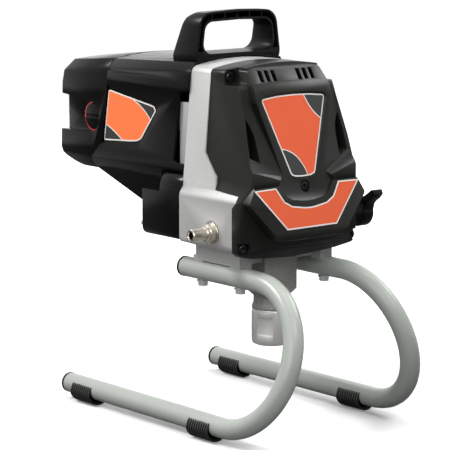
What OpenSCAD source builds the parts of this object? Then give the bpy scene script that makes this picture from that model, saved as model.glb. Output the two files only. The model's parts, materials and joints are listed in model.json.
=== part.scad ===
// Electric airless paint sprayer on a tubular stand.
// Millimetres. X is sideways, -Y is the front of the machine, +Z is up.
// The origin is on the floor under the middle of the machine.

/* [Stand] */
// Outside diameter of the stand tubes
tube_d = 22; // [20:0.5:24]
// Wall thickness of the stand tubes
tube_wall = 1.6; // [1:0.1:2.5]
// Distance between the centre lines of the two lower arms
stand_w = 216; // [200:2:230]
// Outward splay of each tube frame, in degrees
splay = 17.7; // [15:0.1:19]
// Radius of the front bend, on the tube's centre line
bend_r = 79; // [78:0.5:80]
// Length of the lower arms behind the bend
lower_arm = 273; // [250:1:290]
// Length of the upper arms behind the bend
upper_arm = 122; // [118:1:135]
// Length of one rubber foot
foot_len = 40; // [30:1:50]
// Rubber under the tube
foot_t = 6; // [4:0.5:8]

/* [Frame casting] */
// Half width of the lower block
block_hw = 83; // [82:0.5:84]
// Half width of the arched band at its foot
band_hw = 78; // [77:0.5:79]
// Half width of the arched band at its shoulders
band_top_hw = 66; // [65:0.5:67]
// Height of the crown of the band
crown_z = 392; // [391:0.5:393]
// Wall thickness of the band
band_wall = 5; // [4:0.5:6]
// Rear face of the casting
frame_rear_y = -18; // [-19:0.5:-17]

/* [Drive] */
// Height of the motor shaft above the datum
motor_z = 316; // [315.5:0.5:317]
// Height of the crank shaft above the datum
crank_z = 268; // [267.5:0.5:269]
// Teeth of the motor pinion
pinion_teeth = 12; // [12:1:14]
// Teeth of the intermediate gear
inter_teeth = 60; // [58:1:60]
// Teeth of the intermediate pinion
second_teeth = 13; // [13:1:14]
// Teeth of the crank gear
crank_teeth = 52; // [50:1:52]
// Module of the first gear pair
module_1 = 1; // [1:0.05:1.05]
// Module of the second gear pair
module_2 = 1.5; // [1.45:0.05:1.5]
// Throw of the crank pin
crank_throw = 10; // [8:0.5:10]

/* [Pump] */
// Distance of the pump's axis from the middle of the machine, towards the front
pump_y = -74; // [-75:0.5:-73]
// Diameter of the piston rod
rod_d = 12; // [11:0.5:12]
// Bore of the cylinder sleeve
sleeve_bore = 16; // [15:0.5:16]
// Outside diameter of the suction fitting
suction_d = 43; // [40:1:44]
// Height of the lower end of the suction fitting above the datum
suction_z = 83; // [80:1:86]
// Height of the paint outlet above the datum
outlet_z = 213.5; // [212:0.5:214]

/* [Covers] */
// Wall thickness of the moulded covers
cover_wall = 3; // [2.5:0.5:3.5]
// Diameter of the screw pockets of the front cover
pocket_d = 14; // [12:0.5:15]
// Height of the carrying handle's top above the datum
handle_z = 444; // [442:1:450]

/* [Hidden] */
$fn = 48;
eps = 0.01;

tube_r = tube_d / 2;
arm_z = foot_t + tube_r;
bend_y = -122;
upper_arm_x = stand_w / 2 - 2 * bend_r * sin(splay);
upper_arm_z = arm_z + 2 * bend_r * cos(splay);
// The machine is dimensioned from a datum that lies this far above the floor
lift = arm_z - 14.5;
saddle_z = upper_arm_z - lift;
bolt_ys = [-93, -30];

// Drive layout: the intermediate shaft lies where both centre distances meet
centre_1 = module_1 * (pinion_teeth + inter_teeth) / 2;
centre_2 = module_2 * (second_teeth + crank_teeth) / 2;
drop = motor_z - crank_z;
inter_drop = (drop + (pow(centre_1, 2) - pow(centre_2, 2)) / drop) / 2;
inter_x = sqrt(pow(centre_1, 2) - pow(inter_drop, 2));
inter_z = motor_z - inter_drop;
to_inter = atan2(inter_z - motor_z, inter_x);
to_crank = atan2(crank_z - inter_z, -inter_x);

bulkhead_front = -30;
plate_rear = -56;
plate_front = -64;
post_places = [[-48, 264], [48, 264], [-22, 320]];
commutator_y = 162;

// ---------------------------------------------------------------- helpers

// Extrudes a front-view outline (x, z) from y0 back to y1
module along_y(y0, y1) {
    translate([0, y1, 0]) rotate([90, 0, 0]) linear_extrude(y1 - y0) children();
}

// Extrudes a side-view outline (y, z) from x0 to x1
module along_x(x0, x1) {
    translate([x0, 0, 0]) rotate([90, 0, 90]) linear_extrude(x1 - x0) children();
}

// Cylinder along Y from y0 to y1 at (x, z)
module rod_y(x, z, y0, y1, r) {
    translate([x, y1, z]) rotate([90, 0, 0]) cylinder(r = r, h = y1 - y0);
}

// Cylinder along X from x0 to x1 at (y, z)
module rod_x(y, z, x0, x1, r) {
    translate([x0, y, z]) rotate([0, 90, 0]) cylinder(r = r, h = x1 - x0);
}

// Ring along Y
module ring_y(x, z, y0, y1, r_out, r_in) {
    difference() {
        rod_y(x, z, y0, y1, r_out);
        rod_y(x, z, y0 - 1, y1 + 1, r_in);
    }
}

// Rounds the corners of an outline without changing its straight sides
module rounded(r) {
    offset(r = r) offset(delta = -r) children();
}

// Raises what is dimensioned from the datum to its height above the floor
module lifted() {
    translate([0, 0, lift]) children();
}

// Both sides of the machine
module both_sides() {
    children();
    mirror([1, 0, 0]) children();
}

// The right half of an outline, completed by its mirror image
function full_outline(half) = concat(half, [for (i = [len(half) - 1:-1:0]) [-half[i][0], half[i][1]]]);

// ---------------------------------------------------------------- stand

// Places its children in the plane of one leaning tube frame
module in_leg_plane(side) {
    translate([side * stand_w / 2, 0, arm_z]) rotate([0, -side * splay, 0]) children();
}

// The tube's run at radius r: lower arm, bend, upper arm; over lengthens both ends
module leg_run(r, over) {
    translate([0, bend_y, 0]) rotate([-90, 0, 0]) cylinder(r = r, h = lower_arm + over);
    translate([0, bend_y, bend_r]) rotate([90, 0, 90]) rotate([0, 0, 90])
        rotate_extrude(angle = 180, $fn = 96) translate([bend_r, 0]) circle(r = r, $fn = 48);
    translate([0, bend_y, 2 * bend_r]) rotate([-90, 0, 0]) cylinder(r = r, h = upper_arm + over);
}

module leg(side) {
    bolt_hole = 6.5;
    color("#b4bab2")
    difference() {
        in_leg_plane(side) difference() {
            leg_run(tube_r, 0);
            leg_run(tube_r - tube_wall, 1);
        }
        for (y = bolt_ys)
            translate([side * upper_arm_x, y, upper_arm_z - tube_d]) cylinder(d = bolt_hole, h = 2 * tube_d);
    }
}

module left_leg() {
    leg(-1);
}

module right_leg() {
    leg(1);
}

// A plug with a thin head
module end_cap() {
    plug_r = tube_r - tube_wall;
    head_t = 2.4;
    rotate([-90, 0, 0]) {
        translate([0, 0, -12]) difference() {
            cylinder(r = plug_r, h = 12);
            translate([0, 0, -1]) cylinder(r = plug_r - 2, h = 11);
        }
        rotate_extrude() polygon([[0, 0], [tube_r, 0], [tube_r, head_t - 0.7], [tube_r - 0.7, head_t], [0, head_t]]);
    }
}

module tube_end_caps() {
    color("#26282a")
    for (side = [-1, 1]) {
        in_leg_plane(side) translate([0, bend_y + lower_arm, 0]) end_cap();
        in_leg_plane(side) translate([0, bend_y + upper_arm, 2 * bend_r]) end_cap();
    }
}

// Clip-on sleeve with grooves across it, open above and flat where it stands
module foot() {
    grooves = 9;
    depth = 1.4;
    wrap = 220;
    pitch = foot_len / (grooves + 0.5);
    outer = tube_r + foot_t + 0.3;
    outline = concat(
        [[tube_r, 0], [outer - 0.8, 0]],
        [for (i = [0:grooves - 1]) each [
            [outer, pitch * i + 0.6], [outer, pitch * (i + 0.55)],
            [outer - depth, pitch * (i + 0.7)], [outer - depth, pitch * (i + 0.95)]]],
        [[outer, pitch * grooves + 0.4], [outer - 0.8, foot_len], [tube_r, foot_len]]
    );
    intersection() {
        rotate([-90, 0, 0]) rotate([0, 0, 90 - wrap / 2]) rotate_extrude(angle = wrap) polygon(outline);
        translate([-20, -1, -arm_z]) cube([40, foot_len + 2, 40]);
    }
}

foot_ys = [bend_y + 7, bend_y + lower_arm - 17 - foot_len];

module rubber_feet() {
    color("#2a2c2e")
    for (side = [-1, 1])
        for (y = foot_ys)
            translate([side * stand_w / 2, y, arm_z]) foot();
}

// Flange bolt, head down, its shank pointing up from the origin
module flange_bolt(shank) {
    translate([0, 0, -1.5]) cylinder(d1 = 13, d2 = 14, h = 1.5);
    translate([0, 0, -6]) cylinder(d = 11.5, h = 4.6, $fn = 6);
    cylinder(d = 6, h = shank);
}

module leg_bolts() {
    color("#c9ccd0")
    for (side = [-1, 1])
        for (y = bolt_ys)
            translate([side * upper_arm_x, y, upper_arm_z - tube_r - 0.1]) flange_bolt(tube_d + 12);
}

// ---------------------------------------------------------------- frame casting

// Front view of the band: tapered sides, round shoulders, shallow arch
module band_outline() {
    arch_r = 303;
    rounded(9) intersection() {
        polygon(full_outline([
            [block_hw, 194], [block_hw, 250], [band_hw, 258],
            [band_top_hw, 378], [band_top_hw - 0.8, crown_z + 8]
        ]));
        translate([0, crown_z - arch_r]) circle(r = arch_r, $fn = 240);
    }
}

// Seam between the casting and the front cover in the side view, from the top down
seam = [[-51, 402], [-51, 296], [-72, 272], [-73, 259], [-112.5, 256.5], [-112.5, 250], [-106, 243], [-106, 180]];

// Side view: narrow band above, block that reaches to the front below
module frame_side() {
    polygon([[frame_rear_y, 402], each [for (i = [0:6]) seam[i]], [-106, 194], [frame_rear_y, 197.5]]);
}

// Room for the gears, the yoke and the pump's packing
module frame_cavity() {
    along_y(-130, bulkhead_front) offset(delta = -band_wall) difference() {
        band_outline();
        translate([-100, 190]) square([200, 61]);
    }
    // gear well
    along_y(-60, bulkhead_front) intersection() {
        translate([0, crank_z]) circle(r = 43);
        translate([-50, 222]) square([100, 60]);
    }
    // yoke well, closed in front
    along_y(-97, -59) translate([-27, 226]) square([54, 40]);
    // cored pockets on both sides of it
    both_sides() along_y(-130, -60) rounded(5) translate([33, 230]) square([32, 30]);
}

// Base under the block, with a saddle on each stand tube
module frame_base() {
    base = [132, 78, 20];
    translate([-base[0] / 2, -99, 179]) difference() {
        cube(base);
        both_sides_of(base[0]) rotate([0, 0, 45]) cube([6, 6, 60], center = true);
    }
    both_sides()
        for (y = [-99, -37])
            translate([50, y, 173.5]) cube([16, 16, 8]);
}

// Children at both rear corners of a base of width w
module both_sides_of(w) {
    translate([0, 78, 0]) children();
    translate([w, 78, 0]) children();
}

// Ribs, a ring and two posts on the rear face that carry the motor and its cover
module motor_spigot() {
    both_sides() rod_y(stator_screw_x, motor_z, frame_rear_y - 1, stack_y[0], 6);
    both_sides() translate([62.5, frame_rear_y - 4, 279]) cube([4.8, 22, 67]);
    ring_y(0, motor_z, frame_rear_y - 1, frame_rear_y + 8, 47, 42.5);
}

outlet_boss_r = 14;

module frame_casting() {
    color("#c9cbcc") lifted()
    difference() {
        union() {
            difference() {
                intersection() {
                    along_y(-120, frame_rear_y) band_outline();
                    along_x(-90, 90) frame_side();
                }
                frame_cavity();
            }
            frame_base();
            motor_spigot();
            for (p = post_places)
                rod_y(p[0], p[1], plate_rear, bulkhead_front + 1, 5);
            // lugs for the front cover's screws
            both_sides() rod_y(upper_screw[0], upper_screw[1], seam[0][0], bulkhead_front + 1, 5.5);
            translate([-7, -106, 250]) cube([14, 9, 16]);
            // raised rim round the outlet
            difference() {
                rod_x(pump_y, outlet_z, -block_hw - 1, -block_hw + 4, outlet_boss_r);
                rod_x(pump_y, outlet_z, -block_hw - 2, -block_hw + 0.2, outlet_boss_r - 1.2);
            }
            rod_x(prime_y, prime_z, block_hw - 4, block_hw + 2, outlet_boss_r);
        }
        both_sides() rod_y(upper_arm_x, saddle_z, -200, 60, tube_r);
        both_sides() for (y = bolt_ys)
            translate([upper_arm_x, y, 170]) cylinder(d = 6, h = 22.2);
        // pump chamber and packing seat
        translate([0, pump_y, 170]) cylinder(r = 10, h = 49.5);
        translate([0, pump_y, 219]) cylinder(r = 10.5, h = 12);
        // fluid housing pocket
        translate([0, pump_y, 0]) housing_block(170, 190);
        // outlet drilling and its thread
        rod_x(pump_y, outlet_z, -block_hw - 5, 0, 3.5);
        rod_x(pump_y, outlet_z, -block_hw - 5, -block_hw + 14, 6.6);
        // prime drilling and the valve's bore
        rod_x(prime_y + 3, prime_z - 5, 0, block_hw - 12, 2.5);
        rod_x(prime_y, prime_z, block_hw - 14, block_hw + 5, 6.6);
        // bearing seats in the bulkhead
        rod_y(0, motor_z, -29, frame_rear_y + 9, 14);
        rod_y(0, motor_z, -40, -28, 9);
        rod_y(0, crank_z, -40, -19, 17.5);
        rod_y(inter_x, inter_z, -40, -20, 8);
        for (p = post_places)
            rod_y(p[0], p[1], plate_rear - 1, plate_rear + 14, 2.5);
        both_sides() {
            rod_y(stator_screw_x, motor_z, frame_rear_y - 9, stack_y[0] + 1, 2.5);
            rod_y(upper_screw[0], upper_screw[1], -52, -42, 2.5);
            rod_y(lower_screw[0], lower_screw[1], -107, -98, 2.5);
        }
        rod_y(middle_screw[0], middle_screw[1], -107, -96, 2.5);
        // seat of the return line's spigot
        translate(return_at) translate([0, 0, 178]) cylinder(r = 7, h = 6);
        // bore of the pressure control
        rod_y(control_at[0], control_at[1], -31, frame_rear_y + 1, 6);
    }
}

// Height of the row of controls on the rear
controls_z = 209;
control_at = [40, controls_z];
return_at = [36, -42, 0];

// ---------------------------------------------------------------- pump

neck_r = 19.5;

// Square head of the pump housing, from z0 to z1
module housing_block(z0, z1) {
    block = [46, 32];
    translate([-block[0] / 2, -block[1] / 2, z0]) cube([block[0], block[1], z1 - z0]);
}

module fluid_housing() {
    color("#8d9092") lifted()
    translate([0, pump_y, 0]) difference() {
        union() {
            housing_block(145, 190);
            hull() {
                housing_block(144, 145);
                translate([0, 0, 136.5]) cylinder(r = neck_r - 0.5, h = 1, $fn = 32);
            }
            rotate_extrude() polygon([
                [0, 122.5], [20.5, 122.5], [21.5, 123.5], [21.5, 125], [neck_r, 130], [neck_r, 147], [0, 147]
            ]);
        }
        translate([0, 0, 120]) cylinder(r = 15, h = 20);
        translate([0, 0, 139]) cylinder(r = 9, h = 12);
        translate([0, 0, 150]) cylinder(r = 10, h = 45);
    }
}

// Screwed into the housing: female inlet thread below, two wrench flats on the body
module suction_fitting() {
    body_r = suction_d / 2;
    flat_r = body_r - 2;
    flats = [suction_z + 12.5, 114];
    color("#a9acad") lifted()
    translate([0, pump_y, 0]) difference() {
        intersection() {
            rotate_extrude() polygon([
                [0, suction_z], [body_r - 4, suction_z], [body_r - 1, suction_z + 1.5], [body_r, suction_z + 5],
                [body_r, 120.4], [body_r - 0.8, 121.2], [body_r - 0.8, 122.5], [15, 122.5],
                [15, 139.5], [0, 139.5]
            ]);
            union() {
                cylinder(r = 30, h = flats[0]);
                translate([0, 0, flats[1]]) cylinder(r = 30, h = 30);
                rotate(30) translate([-flat_r, -30, 0]) cube([2 * flat_r, 60, 200]);
            }
        }
        translate([0, 0, suction_z - 1]) cylinder(r = 12, h = 19);
        translate([0, 0, suction_z + 10]) cylinder(r = 7, h = 40);
        translate([0, 0, 124]) cylinder(r = 10, h = 20);
    }
}

module inlet_seat() {
    color("#70757a") lifted()
    translate([0, pump_y, 124]) rotate_extrude()
        polygon([[4.5, 0], [10, 0], [10, 4], [6.2, 4], [4.5, 0.8]]);
}

ball_r = 7;
// Height of the ball's centre when it rests on the seat's edge
inlet_ball_z = 128 + sqrt(pow(ball_r, 2) - pow(6.2, 2)) + 0.05;

module inlet_ball() {
    color("#d5d8da") lifted()
    translate([0, pump_y, inlet_ball_z]) sphere(r = ball_r);
}

// Ring with a cross bar that keeps the ball near its seat
module inlet_cage() {
    color("#b9bdc1") lifted()
    translate([0, pump_y, 143.4]) {
        difference() {
            cylinder(r = 8.9, h = 6);
            translate([0, 0, -1]) cylinder(r = 7.2, h = 8);
        }
        rotate([0, 90, 0]) translate([-2, 0, -8]) cylinder(r = 1.2, h = 16);
    }
}

module cylinder_sleeve() {
    color("#d0d3d6") lifted()
    translate([0, pump_y, 150.2]) difference() {
        cylinder(r = 10, h = 54);
        translate([0, 0, -1]) cylinder(d = sleeve_bore, h = 56);
    }
}

piston_z = 168;
rod_top_z = 239.3;

module piston_rod() {
    head_r = sleeve_bore / 2 - 0.05;
    color("#c4c8cb") lifted()
    translate([0, pump_y, 0]) difference() {
        rotate_extrude() polygon([
            [0, piston_z], [head_r, piston_z], [head_r, piston_z + 5], [6.5, piston_z + 5],
            [6.5, piston_z + 11], [head_r, piston_z + 11], [head_r, piston_z + 20],
            [rod_d / 2, piston_z + 22], [rod_d / 2, rod_top_z], [4, rod_top_z],
            [4, rod_top_z + 4.8], [6.4, rod_top_z + 4.8], [6.4, rod_top_z + 7.4], [0, rod_top_z + 7.4]
        ]);
        translate([0, 0, piston_z - 1]) cylinder(r = 2.6, h = 6);
        translate([0, 0, piston_z + 3]) cylinder(r = 4.8, h = 16);
        rod_x(0, piston_z + 15, -15, 15, 2);
    }
}

module piston_ball() {
    color("#d5d8da") lifted()
    translate([0, pump_y, piston_z + 6.6]) sphere(r = 4);
}

module piston_seal() {
    color("#e9e4d4") lifted()
    translate([0, pump_y, piston_z + 5]) difference() {
        cylinder(d = sleeve_bore - 0.06, h = 6);
        translate([0, 0, -1]) cylinder(r = 6.5, h = 8);
    }
}

module upper_packing() {
    color("#e9e4d4") lifted()
    translate([0, pump_y, 219]) difference() {
        cylinder(r = 10.5, h = 5);
        translate([0, 0, -1]) cylinder(r = rod_d / 2 + 0.05, h = 7);
    }
}

module packing_nut() {
    color("#9aa0a4") lifted()
    translate([0, pump_y, 224]) difference() {
        union() {
            cylinder(r = 10.5, h = 3);
            translate([0, 0, 2.2]) cylinder(r = 13, h = 2.8, $fn = 6);
        }
        translate([0, 0, -1]) cylinder(r = rod_d / 2 + 0.1, h = 9);
    }
}

pin_r = 6;
yoke_y = [-80, -69];

// Scotch yoke: a window for the crank pin over a slotted foot for the piston rod
module yoke() {
    window = 2 * (pin_r + crank_throw + 3);
    foot_z = rod_top_z + 0.2;
    color("#8f959a") lifted()
    difference() {
        along_y(yoke_y[0], yoke_y[1]) rounded(6) translate([-window / 2 - 6, foot_z])
            square([window + 12, crank_z + window / 2 + 6 - foot_z]);
        along_y(yoke_y[0] - 1, yoke_y[1] + 1) translate([-window / 2, crank_z - window / 2])
            square([window, window]);
        // slot that the rod's head slides into from the front
        for (slot = [[4.2, foot_z - 1, 5.8], [6.6, rod_top_z + 4.6, 3]]) {
            translate([0, pump_y, slot[1]]) cylinder(r = slot[0], h = slot[2]);
            translate([-slot[0], yoke_y[0] - 1, slot[1]]) cube([2 * slot[0], pump_y - yoke_y[0] + 1, slot[2]]);
        }
    }
}

// ---------------------------------------------------------------- gears

// Involute function, in degrees
function inv_deg(a) = tan(a) * 180 / PI - a;

// Half of a tooth's angle at radius r, thinned by slack at the pitch circle
function half_tooth(r, m, n, slack) =
    let (pitch_r = m * n / 2, base_r = pitch_r * cos(20))
    90 / n - slack / pitch_r * 180 / PI + inv_deg(20) - inv_deg(acos(min(1, base_r / max(r, base_r))));

function polar(r, a) = [r * cos(a), r * sin(a)];

// Outline of a spur gear with a tooth centred on the first axis
module gear_outline(m, n) {
    slack = 0.07 * m;
    pitch_r = m * n / 2;
    root = pitch_r - 1.25 * m;
    tip = pitch_r + 0.92 * m;
    radii = [root, (root + pitch_r) / 2 + 0.2 * m, pitch_r, pitch_r + 0.5 * m, tip];
    polygon([for (i = [0:n - 1]) each concat(
        [for (k = [0:4]) polar(radii[k], 360 / n * i - half_tooth(radii[k], m, n, slack))],
        [for (k = [4:-1:0]) polar(radii[k], 360 / n * i + half_tooth(radii[k], m, n, slack))]
    )]);
}

// A gear along Y at (x, z), turned so that a tooth points in direction a
module gear(x, z, y0, y1, m, n, a) {
    along_y(y0, y1) translate([x, z]) rotate(a) gear_outline(m, n);
}

module crank_gear() {
    holes = 6;
    color("#7d8388") lifted()
    difference() {
        union() {
            gear(0, crank_z, -55, -45, module_2, crank_teeth, to_crank + 180 + 180 / crank_teeth);
            rod_y(0, crank_z, -65, -54, 9.95);
            rod_y(0, crank_z, -46, -19.5, 8.45);
            // web that carries the pin
            along_y(-68, -64.8) translate([0, crank_z]) hull() {
                circle(r = 9);
                translate([crank_throw, 0]) circle(r = pin_r + 2.5);
            }
            rod_y(crank_throw, crank_z, -83, -66, pin_r);
        }
        for (i = [0:holes - 1])
            rod_y(26 * cos(360 / holes * i), crank_z + 26 * sin(360 / holes * i), -60, -40, 6);
    }
}

module crank_bearings() {
    color("#aeb4b9") lifted() {
        ring_y(0, crank_z, -29, -20, 17.5, 8.5);
        ring_y(0, crank_z, plate_front, plate_rear, 16, 10);
    }
}

module gear_plate() {
    color("#a7abad") lifted()
    difference() {
        along_y(plate_front, plate_rear) union() {
            hull() {
                translate([0, crank_z]) circle(r = 22);
                translate([inter_x, inter_z]) circle(r = 13);
            }
            for (p = post_places) hull() {
                translate(p) circle(r = 8);
                translate([0, crank_z + 6]) circle(r = 14);
            }
        }
        rod_y(0, crank_z, -70, -50, 16);
        rod_y(inter_x, inter_z, -70, -50, 8);
        for (p = post_places)
            rod_y(p[0], p[1], -70, -50, 2.8);
    }
}

module gear_plate_screws() {
    color("#5c6166") lifted()
    for (p = post_places) {
        rod_y(p[0], p[1], plate_front, plate_rear + 12, 2.5);
        rod_y(p[0], p[1], plate_front - 4, plate_front, 4.25);
    }
}

module intermediate_gear() {
    holes = 5;
    color("#8b9196") lifted()
    difference() {
        union() {
            gear(inter_x, inter_z, -43, -34, module_1, inter_teeth, to_inter + 180 + 180 / inter_teeth);
            gear(inter_x, inter_z, -55, -42.5, module_2, second_teeth, to_crank);
            rod_y(inter_x, inter_z, -63, -20.5, 4.95);
        }
        for (i = [0:holes - 1])
            rod_y(inter_x + 20 * cos(360 / holes * i), inter_z + 20 * sin(360 / holes * i), -50, -30, 4.5);
    }
}

module intermediate_bushes() {
    color("#c79a52") lifted() {
        ring_y(inter_x, inter_z, -30, -20, 8, 5);
        ring_y(inter_x, inter_z, plate_front, plate_rear, 8, 5);
    }
}

module motor_pinion() {
    color("#7b8085") lifted()
    difference() {
        gear(0, motor_z, -43.5, -33.5, module_1, pinion_teeth, to_inter);
        rod_y(0, motor_z, -50, -30, 3);
    }
}

// ---------------------------------------------------------------- motor

stack_y = [45, 115];
shaft_r = 6;
stator_screw_x = 36;

// Laminated core with open slots
module core_outline() {
    slots = 12;
    difference() {
        circle(r = 25, $fn = 72);
        for (i = [0:slots - 1])
            rotate(360 / slots * i) {
                translate([21, -1.2]) square([6, 2.4]);
                translate([17.5, 0]) circle(r = 4);
            }
    }
}

module armature() {
    bars = 24;
    color("#9a9fa3") lifted() {
        rod_y(0, motor_z, -44, -32.5, 3);
        rod_y(0, motor_z, -32.5, 190, shaft_r - 0.05);
        along_y(stack_y[0], stack_y[1]) translate([0, motor_z]) core_outline();
    }
    color("#b8733c") lifted() {
        for (y = [stack_y[0] - 14, stack_y[1]])
            ring_y(0, motor_z, y, y + 14, 22, shaft_r - 0.05);
        difference() {
            ring_y(0, motor_z, commutator_y - 14, commutator_y + 13, 15, shaft_r - 0.05);
            for (i = [0:bars - 1])
                translate([0, commutator_y, motor_z]) rotate([0, 360 / bars * i, 0])
                    translate([14.2, -20, -0.35]) cube([2, 40, 0.7]);
        }
    }
}

module cooling_fan() {
    blades = 11;
    hub_r = 10;
    disc_r = 29;
    blade_length = 19;
    color("#2b2d2f") lifted() {
        ring_y(0, motor_z, -6, 14, hub_r, shaft_r - 0.05);
        ring_y(0, motor_z, 11.5, 13.5, disc_r, hub_r - 1);
        for (i = [0:blades - 1])
            translate([0, 0, motor_z]) rotate([0, 360 / blades * i + 5, 0])
                translate([hub_r - 1.5, -5, -1]) rotate([0, 16, 0]) cube([blade_length, 17.5, 2]);
    }
}

module motor_bearings() {
    color("#b4b9bd") lifted() {
        ring_y(0, motor_z, -29, -21, 14, shaft_r);
        ring_y(0, motor_z, 180, 189, 13, shaft_r);
    }
}

// Two-pole field core and its coils
module stator() {
    core_r = 43;
    color("#6a6e72") lifted()
    difference() {
        along_y(stack_y[0], stack_y[1]) translate([0, motor_z]) difference() {
            intersection() {
                circle(r = core_r, $fn = 96);
                square([2 * core_r, 76], center = true);
            }
            circle(r = 25.6, $fn = 72);
            for (a = [45:90:315]) rotate(a) translate([27, 0]) circle(r = 6);
        }
        both_sides() rod_y(stator_screw_x, motor_z, 20, 130, 2.7);
    }
    color("#b8733c") lifted()
    for (y = [stack_y[0] - 10, stack_y[1]])
        for (turned = [0, 180])
            translate([0, y, motor_z]) rotate([0, turned, 0]) difference() {
                translate([-19, 0, 26]) cube([38, 10, 8]);
                rod_y(0, 0, -20, 20, 26.5);
            }
}

module stator_screws() {
    color("#aeb3b7") lifted()
    both_sides() {
        rod_y(stator_screw_x, motor_z, frame_rear_y - 8, 150, 2.5);
        rod_y(stator_screw_x, motor_z, 150, 154, 4.5);
    }
}

// Rear bracket: posts on the field core, a ring, four arms and a bearing cup
module motor_bracket() {
    color("#a9acae") lifted()
    difference() {
        union() {
            ring_y(0, motor_z, 141, 147, 43, 27);
            both_sides() rod_y(stator_screw_x, motor_z, stack_y[1], 150, 6);
            for (a = [45:90:315])
                translate([0, 0, motor_z]) rotate([0, a, 0]) translate([28, 145, -4]) cube([8, 42, 8]);
            ring_y(0, motor_z, 180, 192, 18, 13);
            ring_y(0, motor_z, bracket_rear - 4, bracket_rear, 46, 17);
            both_sides() translate([41, 141, motor_z - 11]) cube([9, 30, 22]);
        }
        both_sides() rod_y(stator_screw_x, motor_z, 100, 151, 2.7);
        both_sides() rod_x(commutator_y, motor_z, 17, 60, 8);
        both_sides() for (z = cap_screw_zs)
            rod_y(cap_screw_x, z, bracket_rear - 5, bracket_rear + 1, 2.5);
    }
}

module carbon_brushes() {
    color("#3a3c3e") lifted()
    both_sides() translate([15.1, commutator_y - 4, motor_z - 3]) cube([22, 8, 6]);
}

module brush_holders() {
    color("#c79a52") lifted()
    both_sides() difference() {
        rod_x(commutator_y, motor_z, 18, brush_cap_x, 8);
        translate([10, commutator_y - 4, motor_z - 3]) cube([60, 8, 6]);
    }
}

brush_cap_x = 58;
brush_cap_r = 14.6;
channel_floor_x = 62;

module brush_caps() {
    color("#232527") lifted()
    both_sides() difference() {
        rod_x(commutator_y, motor_z, brush_cap_x, brush_cap_x + 7, brush_cap_r);
        translate([brush_cap_x + 5, commutator_y - 15, motor_z - 1.2]) cube([3, 30, 2.4]);
    }
}

module brush_cap_rings() {
    color("#d9353f") lifted()
    both_sides() difference() {
        rod_x(commutator_y, motor_z, channel_floor_x + 0.05, channel_floor_x + 1.6, brush_cap_r + 2.4);
        rod_x(commutator_y, motor_z, channel_floor_x - 1, channel_floor_x + 8, brush_cap_r + 0.1);
    }
}

// ---------------------------------------------------------------- rear covers

cap_rear = 212;
bracket_rear = 187;
cap_screw_x = 30;
cap_screw_zs = [290, 342];

// Front view of the rear covers, inset by g: flat sides, faceted shoulders, domed top.
// The top lies lower by fall, and its dome is dome high.
module shroud_section(fall, dome, g) {
    edge_z = 389.5 - fall;
    offset(delta = -g) polygon(full_outline([
        [0, 257], [60, 257], [66, 262], [73.5, 272], [70.4, 366], [69, edge_z - 15], [66.5, edge_z - 8],
        [60, edge_z], [40, edge_z + dome * 0.56], [20, edge_z + dome * 0.89], [0, edge_z + dome]
    ]));
}

// Body of the rear covers between two sections, inset by g
module shroud_body(y0, y1, fall0, fall1, dome0, dome1, g) {
    hull() {
        along_y(y0, y0 + 0.1) shroud_section(fall0, dome0, g);
        along_y(y1 - 0.1, y1) shroud_section(fall1, dome1, g);
    }
}

// Side view of everything behind the line where the cap meets the cover
module cap_side() {
    polygon([[127, 402], [127, 351], [134, 291], [155, 270], [163, 250], [230, 250], [230, 402]]);
}

// The wedge under the motor cover that ends on the control box
module belly(g) {
    along_x(-62 + g, 62 - g) polygon([[18, 270], [18, 248.3 + g], [box_rear + 0.4 + g, 248.3 + g],
        [box_rear + 0.4 + g, 221.5 + 1.4 * g], [160, 259 + g], [160, 270]]);
}

// Openings that show the casting's ribs
module shroud_windows() {
    both_sides() along_x(60, 80)
        polygon([[-19, 359], [-4, 357], [5, 283], [-6, 279], [-19, 279]]);
}

// Outline of the label field in the side view
module side_badge_outline() {
    rounded(3) polygon([[125.2, 349.8], [38.5, 336.4], [47.5, 322], [68.5, 297], [134, 292.5]]);
}

// Recess with sloping edges round the label field, shifted inwards by g
module label_recess(g) {
    depth = 2;
    both_sides() translate([71.3, 0, 320]) rotate([0, -1.8, 0]) translate([0, 0, -320]) hull() {
        along_x(-depth - g, -depth - g + 0.1) offset(delta = 1.5 + g) side_badge_outline();
        along_x(2, 2.1) offset(delta = 11 + g) side_badge_outline();
    }
}

// Grooves along the shoulders, from the handle's foot to the seam
module shoulder_grooves(g) {
    both_sides() along_x(67.6 - g, 80)
        polygon([[20.5 - g, 371.5 - g], [20.5 - g, 381 + g], [140, 378.5 + g], [140, 371.5 - g]]);
}

module motor_cover() {
    color("#1d1f21") lifted()
    difference() {
        union() {
            shroud_body(frame_rear_y, 165, 0, 7, 6.5, 4.5, 0);
            belly(0);
        }
        difference() {
            union() {
                shroud_body(frame_rear_y - 1, 166, 0, 7, 6.5, 4.5, cover_wall);
                belly(cover_wall);
            }
            label_recess(cover_wall);
            shoulder_grooves(cover_wall);
        }
        label_recess(0);
        shoulder_grooves(0);
        along_x(-90, 90) cap_side();
        shroud_windows();
        both_sides() translate(handle_screw) cylinder(r = 2.7, h = 12);
    }
}

// Side view of the cap's rear end
module cap_end(g) {
    offset(delta = -g) polygon([[100, 402], [190, 402], [201, 381], [209, 365], [cap_rear, 352],
        [cap_rear, 278], [206, 268], [190, 258.5], [160, 250], [100, 250]]);
}

// The channel that the brush caps sit in, grown by g
module cap_channel(g) {
    both_sides() along_x(channel_floor_x - g, 90) offset(delta = g) {
        translate([157.5, 316.5]) circle(r = 17.5);
        polygon([[157.5, 334], [230, 341], [230, 298], [157.5, 299]]);
    }
}

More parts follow.
